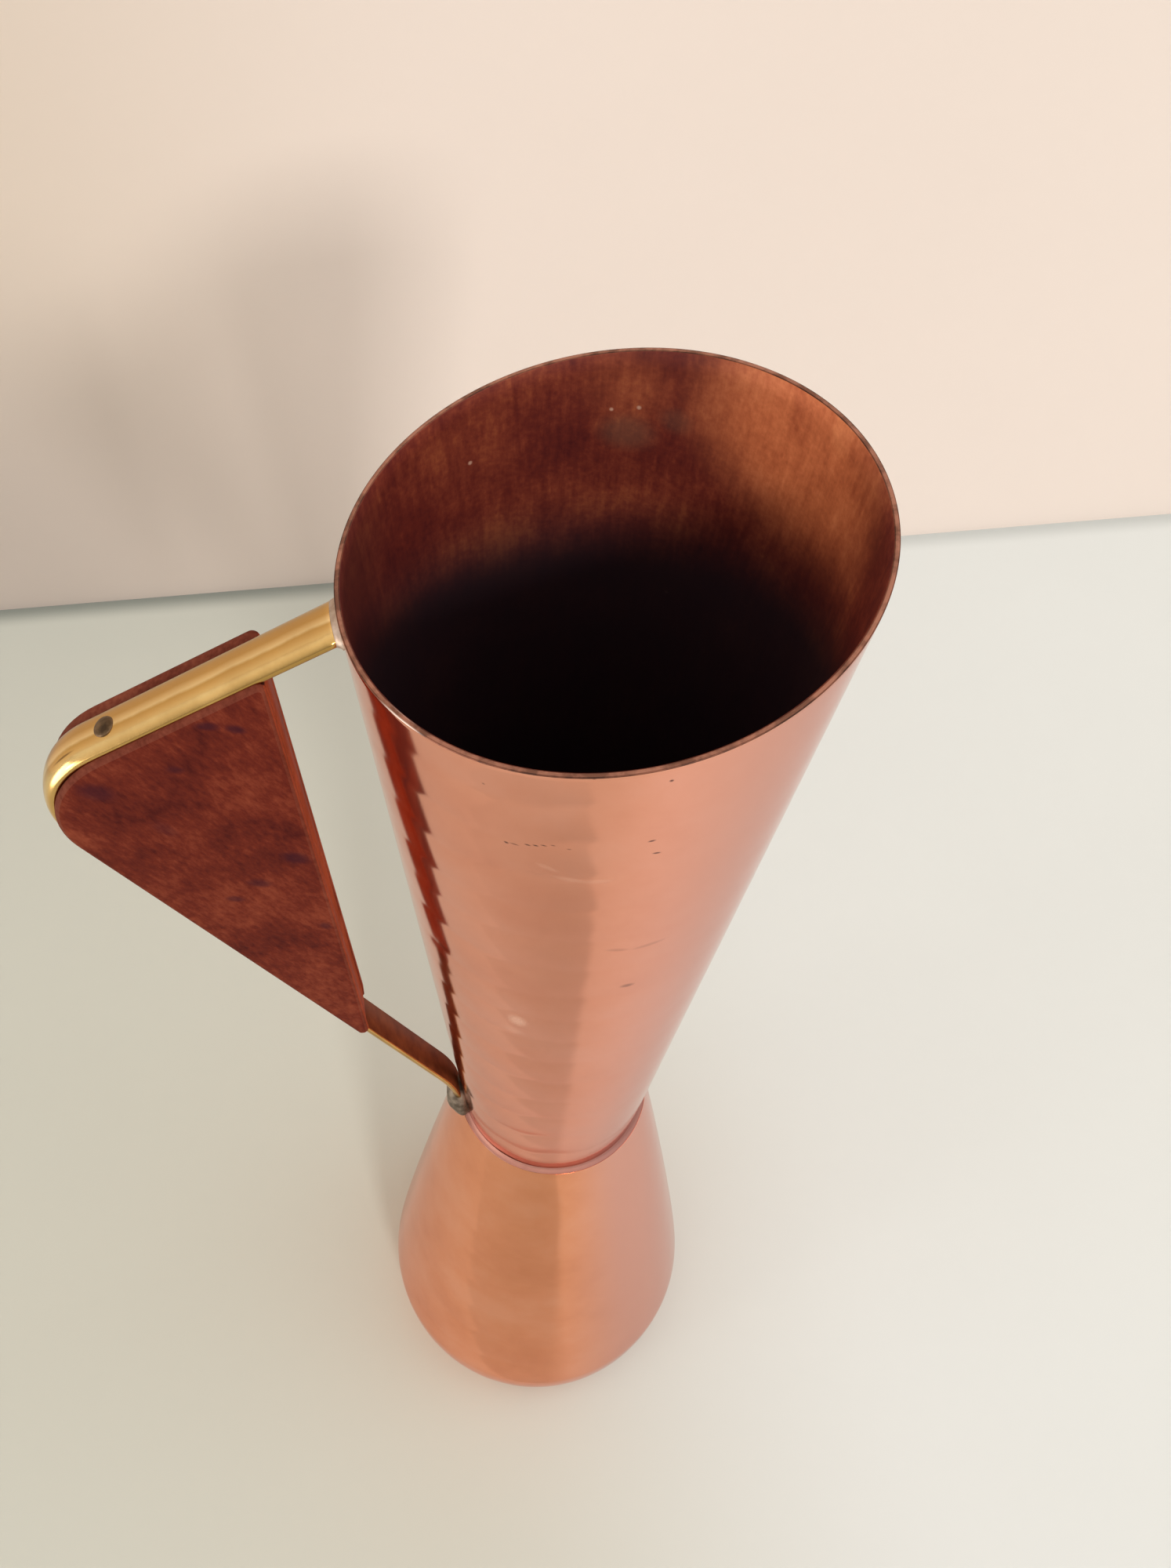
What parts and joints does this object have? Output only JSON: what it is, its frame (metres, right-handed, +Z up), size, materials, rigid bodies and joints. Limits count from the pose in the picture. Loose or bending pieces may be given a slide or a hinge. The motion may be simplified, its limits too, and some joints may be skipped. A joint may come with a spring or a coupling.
{
  "type": "handled vase",
  "caption": "Tall hourglass vase of copper sheet with a slanted open mouth, a flared foot, and a side handle made of a domed brass strap bent round a flat dark wooden grip.",
  "frame": {"origin": "centre of the foot's flat underside, on the axis of the body, on the surface that the vase stands on", "axes": "+Z up the axis of the body, -X towards the handle and the low side of the mouth, +X towards the high side of the mouth, and the handle's plane is Y = 0"},
  "size_m": [0.0981, 0.0662, 0.2597],
  "materials": {
    "copper": "polished copper, lightly planished outside, dark oxidised brown inside",
    "strap_brass": "worn satin brass with brighter crests",
    "pin_brass": "darkened brass, hammered head",
    "solder": "dull grey soft solder, wiped smooth",
    "dark_wood": "dark red-brown hardwood, oiled, rounded edges"
  },
  "bodies": {
    "root": {"upper_cone": "copper", "foot_body": "copper", "base_disc": "copper", "waist_solder": "solder", "base_solder": "solder", "handle_strap": "strap_brass", "wood_grip": "dark_wood", "grip_pin_upper": "pin_brass", "grip_pin_lower": "pin_brass", "solder_upper": "solder", "solder_lower": "solder"}
  },
  "joints": []
}
